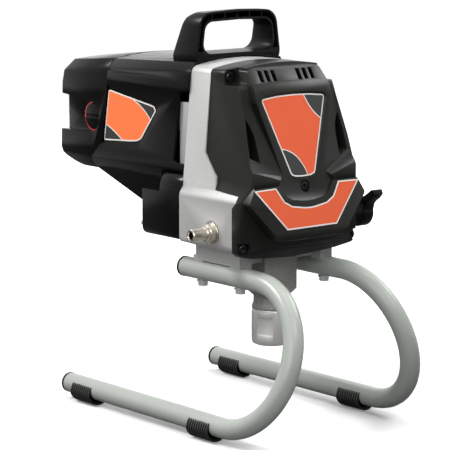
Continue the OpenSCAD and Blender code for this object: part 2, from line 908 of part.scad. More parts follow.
module rear_cap() {
    color("#1b1d1f") lifted()
    difference() {
        intersection() {
            shroud_body(120, cap_rear + 1, 4.7, 12, 5, 2.5, 0);
            along_x(-90, 90) intersection() {
                cap_side();
                cap_end(0);
            }
        }
        difference() {
            intersection() {
                shroud_body(119, cap_rear + 1, 4.7, 12, 5, 2.5, cover_wall);
                along_x(-90, 90) cap_end(cover_wall);
            }
            cap_channel(cover_wall);
            both_sides() for (z = cap_screw_zs)
                rod_y(cap_screw_x, z, bracket_rear + 0.1, cap_rear, 6);
        }
        cap_channel(0);
        both_sides() rod_x(commutator_y, motor_z, 40, 90, brush_cap_r + 0.3);
        both_sides() for (z = cap_screw_zs) {
            rod_y(cap_screw_x, z, bracket_rear - 1, cap_rear + 1, 2.7);
            rod_y(cap_screw_x, z, cap_rear - 3.4, cap_rear + 1, 4.6);
        }
    }
}

// Screws of the rear cap: sunk in its rear face and threaded into the motor bracket
module cover_screws_rear() {
    color("#2c2e30") lifted()
    both_sides() for (z = cap_screw_zs) {
        rod_y(cap_screw_x, z, bracket_rear - 4, cap_rear - 2, 2.5);
        rod_y(cap_screw_x, z, cap_rear - 3.4, cap_rear - 0.6, 4.5);
    }
}

// ---------------------------------------------------------------- controls

box_rear = 49;

// Front view of the control box: round lower corners, tall shoulders
module box_outline(top, g) {
    offset(delta = -g) intersection() {
        rounded(9) translate([-82, 197]) square([164, 90]);
        polygon(full_outline([[82, 190], [82, 250], [81, 257], [79, 262], [75.5, 267], [70, 270]]));
        translate([-90, 190]) square([180, top - 190]);
    }
}

// Full height against the casting, lower behind
module box_body(g) {
    along_y(frame_rear_y - g, 18 - g) box_outline(270, g);
    along_y(frame_rear_y - g, box_rear - g) box_outline(248, g);
}

module control_box() {
    color("#1b1c1e") lifted()
    difference() {
        box_body(0);
        box_body(cover_wall);
        // room for the motor cover
        along_y(frame_rear_y - 1, 20) polygon(full_outline([[0, 256.8], [60.2, 256.8], [66.3, 261.8], [73.8, 272]]));
        rod_y(-switch_at, controls_z, 40, 60, 6.1);
        rod_y(control_at[0], controls_z, 40, 60, 5);
        rod_y(0, controls_z, 40, 60, 8);
    }
}

switch_at = 66;

module control_board() {
    color("#2f6b46") lifted() translate([-45, -6, 205]) cube([60, 1.6, 42]);
    color("#33363a") lifted() {
        translate([-38, -4.4, 212]) cube([18, 12, 14]);
        translate([-10, -4.4, 228]) cube([14, 9, 10]);
    }
}

lever_pivot_y = box_rear + 5;

module toggle_switch() {
    color("#a8adb2") lifted()
    difference() {
        union() {
            translate([-switch_at - 8, box_rear - 26, controls_z - 7.5]) cube([16, 22, 15.5]);
            rod_y(-switch_at, controls_z, box_rear - 5, box_rear + 7, 6);
            along_y(box_rear, box_rear + 2.5) translate([-switch_at, controls_z]) circle(r = 9, $fn = 6);
        }
        translate([-switch_at, lever_pivot_y, controls_z]) sphere(r = 3.9);
        rod_y(-switch_at, controls_z, lever_pivot_y, box_rear + 8, 4.6);
    }
}

module switch_lever() {
    color("#d3d6d9") lifted()
    translate([-switch_at, lever_pivot_y, controls_z]) rotate([-102, 0, 0]) {
        sphere(r = 3.6);
        cylinder(r1 = 1.8, r2 = 3, h = 14);
        translate([0, 0, 14]) sphere(r = 3);
    }
}

module pressure_control() {
    color("#b59a62") lifted() {
        rod_y(control_at[0], control_at[1], -30, frame_rear_y + 2, 6);
        along_y(frame_rear_y + 2, -8) translate(control_at) circle(r = 8.5, $fn = 6);
    }
    color("#9ea3a7") lifted() {
        rod_y(control_at[0], control_at[1], -8, box_rear - 10, 8);
        rod_y(control_at[0], control_at[1], box_rear - 10, box_rear + 9, 3);
    }
}

module pressure_knob() {
    flutes = 12;
    grip_r = 11.5;
    color("#202224") lifted()
    difference() {
        union() {
            rod_y(control_at[0], control_at[1], box_rear + 0.6, box_rear + 4, grip_r + 0.5);
            along_y(box_rear + 3, box_rear + 18) translate(control_at) difference() {
                circle(r = grip_r, $fn = 72);
                for (i = [0:flutes - 1])
                    rotate(360 / flutes * i) translate([grip_r + 1, 0]) circle(r = 2.2);
            }
        }
        rod_y(control_at[0], control_at[1], box_rear, box_rear + 10, 3.05);
        translate([control_at[0] - 0.8, box_rear + 17, control_at[1]]) cube([1.6, 3, grip_r + 1]);
    }
}

// Gland of the mains cord; its bore is empty
module cord_gland() {
    color("#242628") lifted()
    difference() {
        union() {
            rod_y(0, controls_z, box_rear - 8, box_rear + 3, 8);
            along_y(box_rear, box_rear + 5) translate([0, controls_z]) circle(r = 11, $fn = 6);
            translate([0, box_rear + 5, controls_z]) rotate([-90, 0, 0]) cylinder(r1 = 9, r2 = 6.5, h = 12);
        }
        rod_y(0, controls_z, box_rear - 10, box_rear + 30, 4);
    }
}

// ---------------------------------------------------------------- handle

// Front view of the loop's outer edge
module handle_outer() {
    rounded(17) polygon(full_outline([
        [0, handle_z], [26, handle_z - 1], [53.3, handle_z - 2.5], [61.8, 380]
    ]));
}

// Front view of the opening, with filleted lower corners
module handle_inner() {
    rounded(11) polygon(full_outline([
        [0, 432.8], [46, 431.5], [50.5, 397.2], [0, 397.2]
    ]));
}

// Side view: deep at the foot, narrower at the grip
module handle_side(g) {
    offset(delta = -g) polygon([
        [-18.5, 381], [24, 381], [23.5, 389], [17, 409], [11, 427], [7, 436], [0, 441.5], [-9, handle_z - 0.8],
        [-18.5, handle_z + 1]
    ]);
}

module carry_handle() {
    wall = 2.6;
    rib = 1.6;
    color("#202224") lifted()
    difference() {
        intersection() {
            along_y(-18.5, 24) difference() {
                handle_outer();
                handle_inner();
            }
            along_x(-70, 70) handle_side(0);
        }
        // channel open to the front, with ribs left across it
        difference() {
            intersection() {
                along_y(-19.5, 24) difference() {
                    offset(delta = -wall) handle_outer();
                    offset(delta = wall) handle_inner();
                }
                along_x(-70, 70) translate([-wall, 0]) handle_side(0);
                translate([-80, -30, 400]) cube([160, 60, 80]);
            }
            for (x = [-35:17.5:35])
                translate([x - rib / 2, -16, 425]) cube([rib, 60, 40]);
            both_sides() for (z = [404, 418])
                translate([40, -16, z]) cube([30, 60, rib]);
        }
        both_sides() translate(handle_screw) cylinder(r = 2.5, h = 11.5);
        // the feet follow the motor cover's domed top
        shroud_body(frame_rear_y - 2, 165, 0, 7, 6.5, 4.5, -0.1);
    }
}

handle_screw = [54, 2, 385.2];

module handle_screws() {
    color("#b9bdc1") lifted()
    both_sides() translate(handle_screw) {
        cylinder(r = 2.5, h = 11.4);
        translate([0, 0, -3]) cylinder(r = 4.5, h = 3);
    }
}

// ---------------------------------------------------------------- front cover

// Front view of the main shell
module cover_outline() {
    rounded(5) intersection() {
        polygon(full_outline([
            [0, 183.5], [59, 188], [78, 192], [82.8, 196], [82.8, 250], [74.6, 266], [66, 374], [65.5, 400]
        ]));
        translate([0, crown_z - 303.3]) circle(r = 303, $fn = 240);
    }
}

// Side view of the main shell; it runs on behind the seam
module cover_side() {
    polygon([[-40, 180], [-106, 180], [-108, 183.5], [-122, 199], [-122, 250], [-129.5, 266], [-130, 270.5],
        [-127.5, 283], [-97, 367], [-92, 377], [-90, 391], [-90, 402], [-40, 402]]);
}

// The main shell from above: bevelled front corners
module cover_plan() {
    polygon([[-83, -30], [-83, -118.5], [-71, -131], [71, -131], [83, -118.5], [83, -30]]);
}

// Everything in front of the seam, in the side view
module before_seam() {
    polygon(concat([[-160, 180], [-160, 402]], seam));
}

// Raised centre panel: its foot runs out into the dish, its head is a sloping band
module panel_outline() {
    rounded(4) polygon(full_outline([
        [0, 262], [31, 262], [29, 276], [53, 352], [53, 370], [50.3, 385.5], [30, 388.5], [0, 390]
    ]));
}

module panel_side() {
    polygon([[-80, 267], [-127.15, 267], [-110, 357], [-107, 366], [-90, 388], [-84, 392], [-70, 392]]);
}

// V-shaped bumper
module bumper_outline() {
    polygon(full_outline([[0, 206.5], [45, 208.5], [81.2, 248.5], [81.2, 251], [73, 265.5], [0, 265.5]]));
}

module bumper_side() {
    polygon([[-100, 200], [-125, 200], [-141.5, 209], [-141.5, 216], [-140, 219], [-131, 265.5],
        [-129, 268], [-100, 268]]);
}

// The part of an outline that lies inside a side profile, both inset by g
module moulded(g, y0, y1) {
    intersection() {
        along_y(y0, y1) offset(delta = -g) children(0);
        along_x(-90, 90) translate([g, 0]) children(1);
    }
}

// Hollows between the centre panel and the side walls, from the top band down to a sloping ledge
module gullies(g) {
    both_sides() hull()
        for (p = [[64.1 + g, -97, 368 + g], [-1, -96, 368 + g], [70.8 + g, -119, 295.3 - g],
                  [31, -125.7, 275.4 - g], [-1, -125.7, 275.4 - g], [74.5 + g, -127.5, 283 - g],
                  [31, -130, 270.5 - g], [-1, -130, 270.5 - g]])
            for (y = [p[1] + g, -165])
                translate([p[0], y, p[2]]) cube(0.02);
}

// Leaf-shaped pockets in the hollows, against the side walls
module gully_pockets(g) {
    intersection() {
        both_sides() along_y(-165, -60) offset(delta = g) polygon([
            [65, 336], [61, 329], [58, 321.5], [56.6, 314], [56.2, 290.2], [69, 296.2], [67.8, 316]
        ]);
        along_x(-90, 90) translate([g, 0]) polygon([[-180, 280], [-106, 280], [-99, 345], [-180, 345]]);
    }
}

// Dish round the middle screw: it runs down from the panel and flares out to the bumper's face
module dish(g) {
    intersection() {
        along_y(-165, -60) offset(delta = g) polygon(full_outline([
            [0, 247.6], [8, 248], [22, 250], [29.5, 254], [38, 266], [36.5, 271], [31, 275.5], [30, 285], [0, 285]
        ]));
        along_x(-90, 90) translate([g, 0]) polygon([
            [-180, 240], [-135, 240], [-134.6, 247.2], [-131.8, 251], [-129.8, 255.5], [-128.4, 260.5],
            [-127.15, 267], [-123.72, 285], [-180, 285]
        ]);
    }
}

upper_screw = [59, 377.5];
lower_screw = [76.5, 201];
middle_screw = [0, 262];

// Half-round channels that lead to the upper screws, open at the shoulders
module upper_channels(g) {
    r = pocket_d / 2 + 1.2 + g;
    both_sides() {
        rod_y(upper_screw[0], upper_screw[1], -160, -73 + g, r);
        translate([upper_screw[0], -160, upper_screw[1] - r]) cube([30, 87 + g, 2 * r]);
        translate([50 - g, -160, upper_screw[1]]) cube([40, 84 + g, 30]);
    }
}

// Half-round channels that lead to the lower screws, open at the sides
module lower_channels(g) {
    r = pocket_d / 2 - 0.6 + g;
    both_sides() {
        rod_y(lower_screw[0], lower_screw[1], -160, -115 + g, r);
        translate([lower_screw[0], -160, lower_screw[1] - r]) cube([30, 45 + g, 2 * r]);
    }
}

module middle_pocket(g) {
    rod_y(middle_screw[0], middle_screw[1], -160, -124 + g, pocket_d / 2 - 0.6 + g);
}

// The cover's outer form, or the form of its inside when g is the wall thickness
module cover_form(g) {
    difference() {
        union() {
            difference() {
                intersection() {
                    moulded(g, -150, -40) {
                        cover_outline();
                        cover_side();
                    }
                    translate([0, 0, 180]) linear_extrude(230) offset(delta = -g) cover_plan();
                }
                gullies(g);
                gully_pockets(g);
                upper_channels(g);
                dish(g);
            }
            moulded(g, -150, -60) {
                panel_outline();
                panel_side();
            }
            difference() {
                moulded(g, -150, -60) {
                    bumper_outline();
                    bumper_side();
                }
                dish(g);
            }
        }
        lower_channels(g);
        middle_pocket(g);
    }
}

// Slots in the sloping band over the badge, in two groups
module vents() {
    slot = [5.2, 14];
    for (s = [-1, 1])
        for (x = [17.5, 26.5, 35.5])
            translate([s * x - 0.5, -97, 378]) rotate([-52, 0, 0]) rotate([0, 6, 0])
                translate([-slot[0] / 2, -8, -slot[1] / 2]) cube([slot[0], 16, slot[1]]);
}

module front_cover() {
    color("#2b2d2f") lifted()
    difference() {
        intersection() {
            cover_form(0);
            along_x(-90, 90) before_seam();
        }
        cover_form(cover_wall);
        vents();
        both_sides() {
            rod_y(upper_screw[0], upper_screw[1], -80, -60, 2.7);
            rod_y(lower_screw[0], lower_screw[1], -120, -100, 2.7);
        }
        rod_y(middle_screw[0], middle_screw[1], -130, -110, 2.7);
        badge_recess();
    }
}

// Screw along Y whose head's underside is at head_y, with a hexagon socket
module screw_y(x, z, head_y, shank) {
    head_r = 5;
    difference() {
        rod_y(x, z, head_y - 3, head_y, head_r);
        along_y(head_y - 4, head_y - 1.2) translate([x, z]) circle(r = head_r * 0.5, $fn = 6);
    }
    rod_y(x, z, head_y - 1, head_y + shank, head_r / 2);
}

module front_cover_screws() {
    color("#151617") lifted() {
        both_sides() screw_y(upper_screw[0], upper_screw[1], -73, 30);
        both_sides() screw_y(lower_screw[0], lower_screw[1], -115, 16);
        screw_y(middle_screw[0], middle_screw[1], -124, 26);
    }
}

// ---------------------------------------------------------------- badges

// Places its children in the recess of the centre panel
module on_panel() {
    translate([0, -125.2, 272.5]) rotate([-12.1, 0, 0]) children();
}

module front_badge_outline() {
    rounded(4.5) polygon(full_outline([
        [0, 88], [24, 87.2], [44.9, 85], [16.8, 2.5], [11, 0.3], [0, -0.3]
    ]));
}

// Recess with sloping edges that the badge lies in
module badge_recess() {
    on_panel() hull() {
        along_y(0, 0.1) offset(delta = 0.6) front_badge_outline();
        along_y(-6, -5.9) offset(delta = 4) front_badge_outline();
    }
}

module front_badge() {
    color("#e0603a") lifted() on_panel() along_y(-0.6, 0) front_badge_outline();
}

// Label on the bumper's sloping face
module lower_badge() {
    color("#e0603a") lifted()
    translate([0, -131.01, 265.5]) rotate([-10.95, 0, 0]) along_y(-0.8, 0)
        polygon(full_outline([
            [0, -46.6], [35, -46.6], [74, -1.8], [44.2, -1.2], [34.5, -16.3], [24.4, -21.9], [8, -24.5], [0, -25]
        ]));
}

module side_badge() {
    color("#f47c48") lifted()
    translate([-69.3, 0, 320]) rotate([0, 1.8, 0]) translate([0, 0, -320])
        along_x(-0.7, 0) side_badge_outline();
}

// ---------------------------------------------------------------- fittings

// Hexagon along X from x0 to x1
module hex_x(y, z, x0, x1, r) {
    translate([x0, y, z]) rotate([0, 90, 0]) cylinder(r = r, h = x1 - x0, $fn = 6);
}

module outlet_fitting() {
    face = -block_hw;
    color("#b9ad97") lifted()
    difference() {
        union() {
            rod_x(pump_y, outlet_z, face - 2, face + 13, 6.5);
            rod_x(pump_y, outlet_z, face - 2.2, face - 0.1, 9.5);
            hex_x(pump_y, outlet_z, face - 8, face - 2, 10.6);
            rod_x(pump_y, outlet_z, face - 11, face - 8, 8.2);
            rod_x(pump_y, outlet_z, face - 26, face - 11, 6.8);
            translate([face - 30, pump_y, outlet_z]) rotate([0, 90, 0]) cylinder(r1 = 4.8, r2 = 6.2, h = 4.5);
        }
        rod_x(pump_y, outlet_z, face - 40, 0, 2.5);
        translate([face - 30.1, pump_y, outlet_z]) rotate([0, 90, 0]) cylinder(r1 = 4.1, r2 = 2.5, h = 4);
    }
}

prime_y = -86;
prime_z = 218.3;

module prime_valve() {
    face = block_hw + 2.1;
    color("#a6abaf") lifted()
    difference() {
        union() {
            rod_x(prime_y, prime_z, block_hw - 13, face, 6.5);
            hex_x(prime_y, prime_z, face, face + 8, 12);
            rod_x(prime_y, prime_z, face + 8, face + 20, 8);
        }
        rod_x(prime_y, prime_z, block_hw - 14, face + 4, 2.5);
        rod_x(prime_y, prime_z, face + 3, face + 30, 4);
    }
}

// Knob with a tab: the tab turns up and forward from the hub
module prime_lever() {
    hub_r = 16.4;
    knob_x = [block_hw + 27, block_hw + 42];
    color("#1f2123") lifted()
    difference() {
        union() {
            rod_x(prime_y, prime_z, knob_x[0], knob_x[1], hub_r);
            rod_x(prime_y, prime_z, block_hw + 11, knob_x[0] + 1, hub_r - 1.2);
            along_x(knob_x[0] + 1.5, knob_x[1]) polygon([
                [-90, 232], [-96, 234.5], [-103, 239], [-112.5, 245.5], [-115.3, 245.5], [-117.2, 241],
                [-113.5, 236.3], [-106.6, 231.4], [-103.6, 227.9], [-102.2, 222], [-90, 214]
            ]);
        }
        rod_x(prime_y, prime_z, block_hw + 10, block_hw + 25, 12.5);
        rod_x(prime_y, prime_z, knob_x[1] - 1.2, knob_x[1] + 1, hub_r - 4);
    }
    color("#1f2123") lifted() rod_x(prime_y, prime_z, block_hw + 6, knob_x[0] + 4, 3.95);
}

// Spigot of the return line, under the block
module return_spigot() {
    color("#a6abaf") lifted()
    translate(return_at) rotate_extrude() polygon([
        [2.5, 156.5], [3.6, 156.5], [4.2, 157.6], [4.2, 172], [7, 172], [7, 184], [2.5, 184]
    ]);
}

// ---------------------------------------------------------------- assembly

left_leg();
right_leg();
tube_end_caps();
rubber_feet();
leg_bolts();
frame_casting();
fluid_housing();
suction_fitting();
inlet_seat();
inlet_ball();
inlet_cage();
cylinder_sleeve();
piston_rod();
piston_ball();
piston_seal();
upper_packing();
packing_nut();
yoke();
crank_gear();
crank_bearings();
gear_plate();
gear_plate_screws();
intermediate_gear();
intermediate_bushes();
motor_pinion();
armature();
cooling_fan();
motor_bearings();
stator();
stator_screws();
motor_bracket();
carbon_brushes();
brush_holders();
brush_caps();
brush_cap_rings();
motor_cover();
rear_cap();
cover_screws_rear();
control_box();
control_board();
toggle_switch();
switch_lever();
pressure_control();
pressure_knob();
cord_gland();
carry_handle();
handle_screws();
front_cover();
front_cover_screws();
front_badge();
lower_badge();
side_badge();
outlet_fitting();
prime_valve();
prime_lever();
return_spigot();
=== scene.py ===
"""Airless paint sprayer: finishes, labels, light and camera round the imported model. Metres."""
import json
import math

import bpy
from mathutils import Matrix, Vector


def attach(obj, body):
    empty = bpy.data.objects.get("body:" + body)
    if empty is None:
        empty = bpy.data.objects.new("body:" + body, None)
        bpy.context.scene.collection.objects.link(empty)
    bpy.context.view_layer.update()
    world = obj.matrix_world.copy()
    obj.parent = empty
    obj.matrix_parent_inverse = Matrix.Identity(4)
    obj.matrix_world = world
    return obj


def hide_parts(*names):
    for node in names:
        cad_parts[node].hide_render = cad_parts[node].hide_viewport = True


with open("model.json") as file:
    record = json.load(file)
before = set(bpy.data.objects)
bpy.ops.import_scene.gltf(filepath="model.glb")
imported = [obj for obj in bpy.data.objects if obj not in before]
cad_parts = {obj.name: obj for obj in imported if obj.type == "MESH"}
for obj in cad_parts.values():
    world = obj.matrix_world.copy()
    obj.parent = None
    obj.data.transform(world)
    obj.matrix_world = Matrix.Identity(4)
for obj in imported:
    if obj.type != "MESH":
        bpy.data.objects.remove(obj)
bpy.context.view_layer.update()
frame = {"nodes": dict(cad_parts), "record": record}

MM = 0.001
BODY = "machine"


def placed(name, data):
    """A new object in the scene that shows the data."""
    thing = bpy.data.objects.new(name, data)
    bpy.context.scene.collection.objects.link(thing)
    return thing


def point_at(thing, place, aim):
    """Puts a camera or a lamp at a place and turns it to look at a point."""
    thing.location = place
    thing.rotation_euler = (Vector(aim) - Vector(place)).to_track_quat("-Z", "Y").to_euler()


# ---------------------------------------------------------------- camera

CAMERA_AT = (-1.5535, -1.8658, 0.6046)
CAMERA_AIM = (0.0, 0.0048, 0.2060)
LENS_MM = 177.5
SENSOR_MM = 36.0
FARTHEST = 20.0


def add_camera():
    """A long lens, forward and to the left of the machine."""
    data = bpy.data.cameras.new("camera")
    data.lens = LENS_MM
    data.sensor_width = SENSOR_MM
    data.sensor_fit = "HORIZONTAL"
    data.clip_end = FARTHEST
    camera = placed("camera", data)
    point_at(camera, CAMERA_AT, CAMERA_AIM)
    bpy.context.scene.camera = camera


add_camera()

# ---------------------------------------------------------------- materials

PATCH_RANGE = (0.3, 0.7)
GLOSS_SPREAD = 0.1
RELIEF_PER_GRAIN = 0.2
WEAR_RANGE = (0.56, 0.74)
COAT_ROUGHNESS = 0.12


def linear(hex_colour):
    """The linear RGBA of an sRGB colour written as #rrggbb."""
    values = [int(hex_colour[i:i + 2], 16) / 255 for i in (1, 3, 5)]
    return [v / 12.92 if v <= 0.04045 else ((v + 0.055) / 1.055) ** 2.4 for v in values] + [1.0]


def add(tree, kind, inputs=None, **settings):
    """Adds a node; an input that is given a socket is linked to it, any other input is set."""
    new = tree.nodes.new(kind)
    for name, value in settings.items():
        setattr(new, name, value)
    for name, value in (inputs or {}).items():
        if isinstance(value, bpy.types.NodeSocket):
            tree.links.new(value, new.inputs[name])
        else:
            new.inputs[name].default_value = value
    return new


def empty_tree(owner):
    """The node tree of a material or a world, without its first nodes."""
    owner.use_nodes = True
    owner.node_tree.nodes.clear()
    return owner.node_tree


def finish(name, colour, roughness, metallic=0.0, specular=0.5, grain_mm=1.0, grain=0.15,
           mottle=0.04, mottle_mm=12.0, coat=0.0, wear=None):
    """A moulded, cast, turned or painted surface: a colour that varies softly, and a grain.

    grain_mm is the distance between two bumps and grain their strength; mottle_mm is the size
    of the patches in colour and gloss and mottle their contrast; wear is a lighter colour that
    shows on the grain's high spots.
    """
    material = bpy.data.materials.new(name)
    tree = empty_tree(material)
    place = add(tree, "ShaderNodeTexCoord").outputs["Object"]
    patches = add(tree, "ShaderNodeTexNoise",
                  {"Vector": place, "Scale": 1 / (mottle_mm * MM), "Detail": 3.0})
    bumps = add(tree, "ShaderNodeTexNoise",
                {"Vector": place, "Scale": 1 / (grain_mm * MM), "Detail": 2.0})
    base = linear(colour)
    dark = [c * (1 - mottle) for c in base[:3]] + [1.0]
    light = [min(1.0, c * (1 + mottle)) for c in base[:3]] + [1.0]
    tint = add(tree, "ShaderNodeMix", {"Factor": patches.outputs["Fac"], "A": dark, "B": light},
               data_type="RGBA")
    tinted = tint.outputs["Result"]
    if wear:
        speck = add(tree, "ShaderNodeValToRGB", {"Fac": bumps.outputs["Fac"]})
        for stop, position in zip(speck.color_ramp.elements, WEAR_RANGE):
            stop.position = position
        worn = add(tree, "ShaderNodeMix",
                   {"Factor": speck.outputs["Color"], "A": tinted, "B": linear(wear)},
                   data_type="RGBA")
        tinted = worn.outputs["Result"]
    gloss = add(tree, "ShaderNodeMapRange", {
        "Value": patches.outputs["Fac"], "From Min": PATCH_RANGE[0], "From Max": PATCH_RANGE[1],
        "To Min": roughness * (1 - GLOSS_SPREAD),
        "To Max": min(1.0, roughness * (1 + GLOSS_SPREAD))})
    relief = add(tree, "ShaderNodeBump", {
        "Height": bumps.outputs["Fac"], "Strength": grain,
        "Distance": RELIEF_PER_GRAIN * grain_mm * MM})
    surface = add(tree, "ShaderNodeBsdfPrincipled", {
        "Base Color": tinted, "Roughness": gloss.outputs["Result"], "Metallic": metallic,
        "Specular IOR Level": specular, "Coat Weight": coat, "Coat Roughness": COAT_ROUGHNESS,
        "Normal": relief.outputs["Normal"]})
    add(tree, "ShaderNodeOutputMaterial", {"Surface": surface.outputs["BSDF"]})
    return material


# Polyester powder coat on steel tube: satin and even
POWDER_COAT = finish("powder_coat_grey_green", "#9fa49e", 0.31, specular=0.4,
                     grain_mm=3.0, grain=0.01, mottle=0.02)
# Die-cast aluminium, shot-blasted: light grey, speckled, hardly shiny
CAST_ALUMINIUM = finish("shot_blasted_die_cast_aluminium", "#aeaead", 0.5, metallic=0.25,
                        specular=0.3, grain_mm=1.3, grain=1.0, mottle=0.2, mottle_mm=1.2)
# Sand-cast aluminium: darker, coarse, with bright specks
SAND_CAST = finish("sand_cast_aluminium", "#868682", 0.55, metallic=0.25,
                   grain_mm=1.5, grain=1.0, mottle=0.3, mottle_mm=1.6, wear="#b8b8b4")
# Turned and tumbled stainless steel: a soft sheen
TURNED_STEEL = finish("turned_stainless_steel", "#c8c8c5", 0.4, metallic=0.5,
                      grain_mm=1.0, grain=0.4, mottle=0.09, mottle_mm=1.8)
# Ground and hardened steel
GROUND_STEEL = finish("ground_hardened_steel", "#b9bcbe", 0.18, metallic=1.0,
                      grain_mm=0.5, grain=0.05)
# Hobbed gear steel under a film of oil
GEAR_STEEL = finish("oiled_gear_steel", "#7f858a", 0.3, metallic=1.0,
                    grain_mm=0.6, grain=0.12, coat=0.3)
# Bright zinc plating
ZINC = finish("bright_zinc_plate", "#dfe1e2", 0.3, metallic=0.7, grain_mm=0.5, grain=0.06)
# Nickel plating, warm and bright
NICKEL = finish("nickel_plate", "#d3cbbf", 0.24, metallic=1.0, grain_mm=0.5, grain=0.05)
# Painted shade: a near-black lining that stands in for the shadow deep in the bore
BORE_SHADE_PAINT = finish("bore_lining_painted_shade", "#0b0a09", 0.6, specular=0.15, grain_mm=0.8, grain=0.05)
# Blackened steel screws
BLACK_OXIDE = finish("black_oxide_steel", "#1c1d1f", 0.2, metallic=0.6, grain_mm=0.5, grain=0.05)
# ABS moulded in a polished tool: black and glossy
GLOSS_ABS = finish("polished_black_abs", "#060605", 0.2, specular=0.12,
                   grain_mm=2.5, grain=0.03, mottle=0.1)
# Glass-filled nylon from a spark-eroded tool: near black, satin, with a fine grain
NYLON = finish("spark_textured_black_nylon", "#151513", 0.38, specular=0.19,
               grain_mm=0.8, grain=0.12, mottle=0.08)
# Nylon with a smoother face, for the handle and the small parts
SATIN_NYLON = finish("satin_black_nylon", "#070707", 0.34, specular=0.12,
                     grain_mm=0.9, grain=0.05, mottle=0.08)
# Soft PVC of the feet
SOFT_PVC = finish("soft_black_pvc", "#20201f", 0.42, grain_mm=0.9, grain=0.2, mottle=0.1)
# Polyethylene plugs in the tube ends
PLUG = finish("black_polyethylene", "#0e0f0f", 0.55, specular=0.25, grain_mm=1.0, grain=0.08)
# Printed vinyl labels under a clear film
VINYL_ORANGE = finish("printed_vinyl_orange", "#de5d37", 0.38, specular=0.35,
                      grain_mm=1.4, grain=0.03, mottle=0.02)
VINYL_SIDE = finish("printed_vinyl_light_orange", "#f6763f", 0.38, specular=0.4,
                    grain_mm=1.4, grain=0.03, mottle=0.02)
VINYL_WHITE = finish("printed_vinyl_white", "#dfdcd6", 0.38, grain_mm=1.4, grain=0.03, mottle=0.01)
VINYL_BLACK = finish("printed_vinyl_black", "#1d1e1f", 0.36, grain_mm=1.4, grain=0.03)
# Acetal rings round the brush caps
RED_ACETAL = finish("moulded_red_acetal", "#d8303c", 0.35, grain_mm=1.0, grain=0.05)
# Inside the machine
BRONZE = finish("sintered_bronze", "#b98a48", 0.4, metallic=1.0,
                grain_mm=0.5, grain=0.3, mottle=0.1)
IRON = finish("laminated_core_iron", "#5f6366", 0.45, metallic=0.8, grain_mm=0.7, grain=0.3)
PTFE = finish("ptfe_packing", "#e6e2d6", 0.5, grain_mm=0.8, grain=0.1)
CARBON = finish("pressed_carbon", "#303234", 0.5, metallic=0.3, grain_mm=0.6, grain=0.3)
BOARD = finish("solder_masked_board", "#245a3a", 0.35, grain_mm=1.0, grain=0.1)

FINISHES = {
    POWDER_COAT: ["left_leg", "right_leg"],
    CAST_ALUMINIUM: ["frame_casting", "gear_plate", "motor_bracket"],
    SAND_CAST: ["fluid_housing"],
    TURNED_STEEL: ["suction_fitting", "packing_nut", "inlet_cage"],
    GROUND_STEEL: ["inlet_seat", "inlet_ball", "cylinder_sleeve", "piston_rod", "piston_ball",
                   "crank_bearings", "motor_bearings"],
    GEAR_STEEL: ["yoke", "crank_gear", "intermediate_gear", "motor_pinion"],
    ZINC: ["leg_bolts", "stator_screws", "handle_screws", "toggle_switch", "switch_lever"],
    NICKEL: ["outlet_fitting", "prime_valve", "return_spigot"],
    BLACK_OXIDE: ["gear_plate_screws", "front_cover_screws", "cover_screws_rear"],
    GLOSS_ABS: ["motor_cover", "rear_cap", "brush_caps", "control_box"],
    NYLON: ["front_cover"],
    SATIN_NYLON: ["carry_handle", "pressure_knob", "cord_gland", "prime_lever", "cooling_fan"],
    SOFT_PVC: ["rubber_feet"],
    PLUG: ["tube_end_caps"],
    VINYL_ORANGE: ["front_badge", "lower_badge"],
    VINYL_SIDE: ["side_badge"],
    RED_ACETAL: ["brush_cap_rings"],
    BRONZE: ["intermediate_bushes", "brush_holders", "pressure_control"],
    IRON: ["armature", "stator"],
    PTFE: ["piston_seal", "upper_packing"],
    CARBON: ["carbon_brushes"],
    BOARD: ["control_board"],
}

MATERIAL_OF = {name: material for material, names in FINISHES.items() for name in names}
BODY_OF = {node: body for body, nodes in frame["record"]["behaviour"]["bodies"].items()
           for node in nodes}


def give_finish(piece, material):
    """The piece shows one material all over."""
    piece.data.materials.clear()
    piece.data.materials.append(material)


for name, material in MATERIAL_OF.items():
    give_finish(frame["nodes"][name], material)

# ---------------------------------------------------------------- work on meshes

CAD_WELD = 0.00001
WELD = 0.000001
SMOOTH_DEG = 35


def select_only(piece):
    """Selects one object and makes it active."""
    bpy.ops.object.select_all(action="DESELECT")
    piece.select_set(True)
    bpy.context.view_layer.objects.active = piece


def apply_modifiers(piece):
    """Makes what the piece's modifiers do part of its mesh."""
    select_only(piece)
    for modifier in list(piece.modifiers):
        bpy.ops.object.modifier_apply(modifier=modifier.name)


def round_edges(piece, edge_mm, segments, corner_deg):
    """Rounds the edges between faces that meet at more than corner_deg."""
    bevel = piece.modifiers.new("rounded edges", "BEVEL")
    bevel.width = edge_mm * MM
    bevel.segments = segments
    bevel.limit_method = "ANGLE"
    bevel.angle_limit = math.radians(corner_deg)
    apply_modifiers(piece)


def close_up(piece):
    """Welds vertices that lie together and turns all faces outward."""
    select_only(piece)
    bpy.ops.object.mode_set(mode="EDIT")
    bpy.ops.mesh.select_all(action="SELECT")
    bpy.ops.mesh.remove_doubles(threshold=WELD)
    bpy.ops.mesh.normals_make_consistent(inside=False)
    bpy.ops.object.mode_set(mode="OBJECT")


def joined(pieces):
    """One object out of several."""
    select_only(pieces[0])
    for piece in pieces[1:]:
        piece.select_set(True)
    bpy.ops.object.join()
    return pieces[0]


